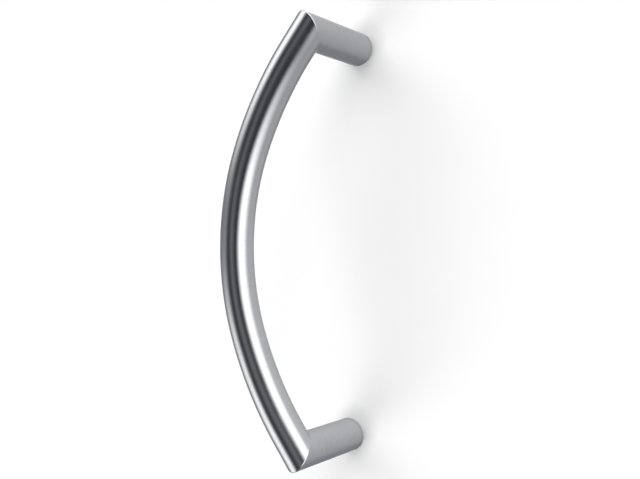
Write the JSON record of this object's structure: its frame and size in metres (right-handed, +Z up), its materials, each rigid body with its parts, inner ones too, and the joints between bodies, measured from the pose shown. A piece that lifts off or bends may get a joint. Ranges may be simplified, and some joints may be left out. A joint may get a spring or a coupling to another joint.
{
  "type": "door pull handle",
  "caption": "Bow-shaped door pull handle: a bent round tube, mitred at its ends to straight posts that bolt to a door through tapped bushes.",
  "frame": {"origin": "midway between the two fixing holes, on the door's face", "axes": "+Z up, along the line through both fixing holes; +Y into the door; the grip bulges towards -X"},
  "size_m": [0.064, 0.0625, 0.244],
  "materials": {
    "satin_tube": "satin stainless steel, fine lines round the tube",
    "turned_bush": "turned stainless steel, as machined"
  },
  "bodies": {
    "root": {"grip_bow": "satin_tube", "upper_post": "satin_tube", "lower_post": "satin_tube", "upper_bush": "turned_bush", "lower_bush": "turned_bush"}
  },
  "joints": []
}
